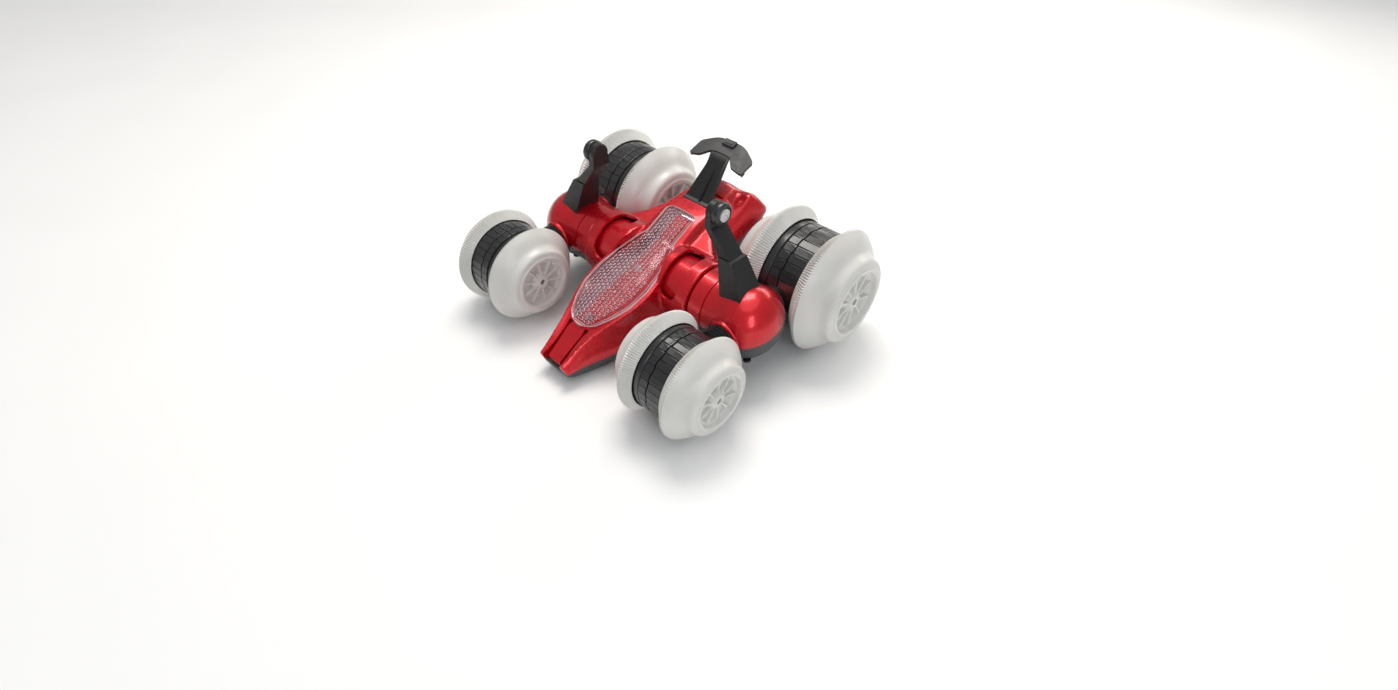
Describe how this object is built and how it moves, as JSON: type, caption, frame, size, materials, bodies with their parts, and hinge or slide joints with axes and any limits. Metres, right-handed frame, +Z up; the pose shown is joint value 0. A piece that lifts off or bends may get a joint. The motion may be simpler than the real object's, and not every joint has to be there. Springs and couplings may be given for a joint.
{
  "type": "rc stunt car",
  "caption": "Remote controlled stunt car: red pods on a cross tube carry wide double disc wheels on black drums, and the body flips end over end between them.",
  "frame": {"origin": "on the floor under the middle of the whole car", "axes": "+Z up; the nose points along -Y; +X is towards the left side of the car"},
  "size_m": [0.2236, 0.1786, 0.1036],
  "materials": {
    "red_shell": "gloss",
    "dark_pan": "satin",
    "black_plastic": "satin",
    "black_gloss": "gloss",
    "milky_disc": "satin, slightly translucent",
    "clear_lens": "gloss",
    "led": "gloss",
    "chrome_screw": "polished",
    "steel_rod": "satin",
    "motor_can": "satin",
    "white_gear": "satin",
    "brass_gear": "satin",
    "board_green": "satin",
    "cell_green": "gloss"
  },
  "bodies": {
    "chassis": {"cross_tube": "red_shell", "flip_gear": "white_gear", "post_screws": "chrome_screw", "chassis_screws": "chrome_screw", "drive_motors": "motor_can", "pod_shell_left": "red_shell", "pod_shell_right": "red_shell", "pod_pan_left": "dark_pan", "pod_pan_right": "dark_pan", "post_left": "black_plastic", "post_right": "black_plastic", "arm_front_left": "black_plastic", "arm_front_right": "black_plastic", "arm_rear_left": "black_plastic", "arm_rear_right": "black_plastic", "drum_inner_front_left": "black_gloss", "drum_inner_front_right": "black_gloss", "drum_inner_rear_left": "black_gloss", "drum_inner_rear_right": "black_gloss", "drum_outer_front_left": "black_gloss", "drum_outer_front_right": "black_gloss", "drum_outer_rear_left": "black_gloss", "drum_outer_rear_right": "black_gloss"},
    "car_body": {"body_shell": "red_shell", "body_pan": "dark_pan", "canopy_lens": "clear_lens", "lamp": "led", "circuit_board": "board_green", "battery_pack": "cell_green", "battery_door": "dark_pan", "body_screws": "chrome_screw", "flip_motor": "motor_can", "tail_stem": "black_plastic", "tail_wing": "black_plastic"},
    "front_left_wheel": {"disc_inner_front_left": "milky_disc", "disc_outer_front_left": "milky_disc", "axle_front_left": "steel_rod", "axle_gear_front_left": "white_gear"},
    "front_left_pinion": {"pinion_front_left": "brass_gear"},
    "front_right_wheel": {"disc_inner_front_right": "milky_disc", "disc_outer_front_right": "milky_disc", "axle_front_right": "steel_rod", "axle_gear_front_right": "white_gear"},
    "front_right_pinion": {"pinion_front_right": "brass_gear"},
    "rear_left_wheel": {"disc_inner_rear_left": "milky_disc", "disc_outer_rear_left": "milky_disc", "axle_rear_left": "steel_rod", "axle_gear_rear_left": "white_gear"},
    "rear_left_pinion": {"pinion_rear_left": "brass_gear"},
    "rear_right_wheel": {"disc_inner_rear_right": "milky_disc", "disc_outer_rear_right": "milky_disc", "axle_rear_right": "steel_rod", "axle_gear_rear_right": "white_gear"},
    "rear_right_pinion": {"pinion_rear_right": "brass_gear"},
    "left_roller": {"roller_left": "black_gloss"},
    "right_roller": {"roller_right": "black_gloss"},
    "flip_pinion": {"flip_pinion": "brass_gear"},
    "power_switch": {"power_switch": "black_plastic"}
  },
  "joints": [
    {"name": "body_flip", "type": "hinge", "parent": "chassis", "child": "car_body", "pos_m": [0, -0.00388, 0.037], "axis": [1, 0, 0], "continuous": true},
    {"name": "flip_pinion_spin", "type": "hinge", "parent": "car_body", "child": "flip_pinion", "pos_m": [0.012, -0.01742, 0.03207], "axis": [1, 0, 0], "continuous": true},
    {"name": "front_left_spin", "type": "hinge", "parent": "chassis", "child": "front_left_wheel", "pos_m": [0.0731, -0.05819, 0.0305], "axis": [1, 0, 0], "continuous": true},
    {"name": "front_left_pinion_spin", "type": "hinge", "parent": "chassis", "child": "front_left_pinion", "pos_m": [0.0731, -0.05819, 0.0415], "axis": [1, 0, 0], "continuous": true},
    {"name": "front_right_spin", "type": "hinge", "parent": "chassis", "child": "front_right_wheel", "pos_m": [-0.0731, -0.05819, 0.0305], "axis": [1, 0, 0], "continuous": true},
    {"name": "front_right_pinion_spin", "type": "hinge", "parent": "chassis", "child": "front_right_pinion", "pos_m": [-0.0731, -0.05819, 0.0415], "axis": [1, 0, 0], "continuous": true},
    {"name": "rear_left_spin", "type": "hinge", "parent": "chassis", "child": "rear_left_wheel", "pos_m": [0.0742, 0.05042, 0.0389], "axis": [1, 0, 0], "continuous": true},
    {"name": "rear_left_pinion_spin", "type": "hinge", "parent": "chassis", "child": "rear_left_pinion", "pos_m": [0.0742, 0.05042, 0.0499], "axis": [1, 0, 0], "continuous": true},
    {"name": "rear_right_spin", "type": "hinge", "parent": "chassis", "child": "rear_right_wheel", "pos_m": [-0.0742, 0.05042, 0.0389], "axis": [1, 0, 0], "continuous": true},
    {"name": "rear_right_pinion_spin", "type": "hinge", "parent": "chassis", "child": "rear_right_pinion", "pos_m": [-0.0742, 0.05042, 0.0499], "axis": [1, 0, 0], "continuous": true},
    {"name": "left_roller_spin", "type": "hinge", "parent": "chassis", "child": "left_roller", "pos_m": [0.0516, -0.00488, 0.097], "axis": [1, 0, 0], "continuous": true},
    {"name": "right_roller_spin", "type": "hinge", "parent": "chassis", "child": "right_roller", "pos_m": [-0.0516, -0.00488, 0.097], "axis": [1, 0, 0], "continuous": true},
    {"name": "power_switch_slide", "type": "slide", "parent": "car_body", "child": "power_switch", "axis": [0, 0.9397, 0.342], "range_m": [0, 0.003]}
  ],
  "couplings": [
    {"joint": "flip_pinion_spin", "follows": "body_flip", "ratio": 3},
    {"joint": "front_left_pinion_spin", "follows": "front_left_spin", "ratio": -2.6667},
    {"joint": "front_right_pinion_spin", "follows": "front_right_spin", "ratio": -2.6667},
    {"joint": "rear_left_pinion_spin", "follows": "rear_left_spin", "ratio": -2.6667},
    {"joint": "rear_right_pinion_spin", "follows": "rear_right_spin", "ratio": -2.6667}
  ]
}
